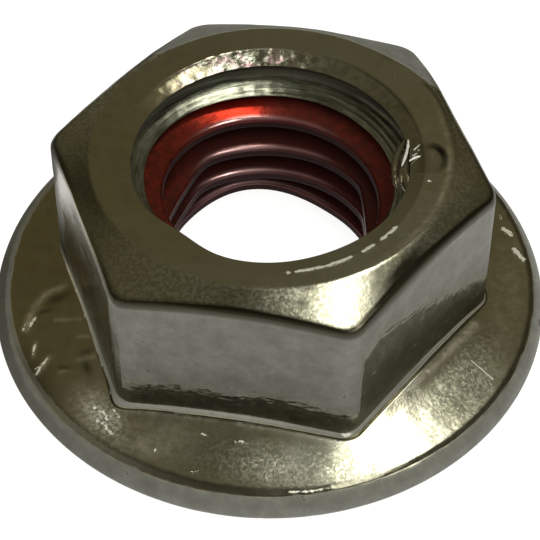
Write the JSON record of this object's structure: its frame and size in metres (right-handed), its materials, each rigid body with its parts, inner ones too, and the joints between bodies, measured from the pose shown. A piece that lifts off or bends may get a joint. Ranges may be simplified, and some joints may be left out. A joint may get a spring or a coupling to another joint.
{
  "type": "serrated flange nut with wire thread insert",
  "caption": "Hexagon nut with a serrated round flange and a red screw-lock wire thread insert staked in its hole.",
  "frame": {"origin": "centre of the bearing face, on the thread axis", "axes": "+Z along the thread axis from the serrated bearing face to the top of the hexagon, two opposite corners of the hexagon on X"},
  "size_m": [0.0262, 0.0262, 0.0094],
  "materials": {
    "forged_steel": "bright cold-forged stainless steel, satin flats, polished chamfer and flange",
    "dyed_wire": "stainless wire dyed red to mark a screw-lock insert"
  },
  "bodies": {
    "root": {"nut_body": "forged_steel", "locking_wire_insert": "dyed_wire"}
  },
  "joints": []
}
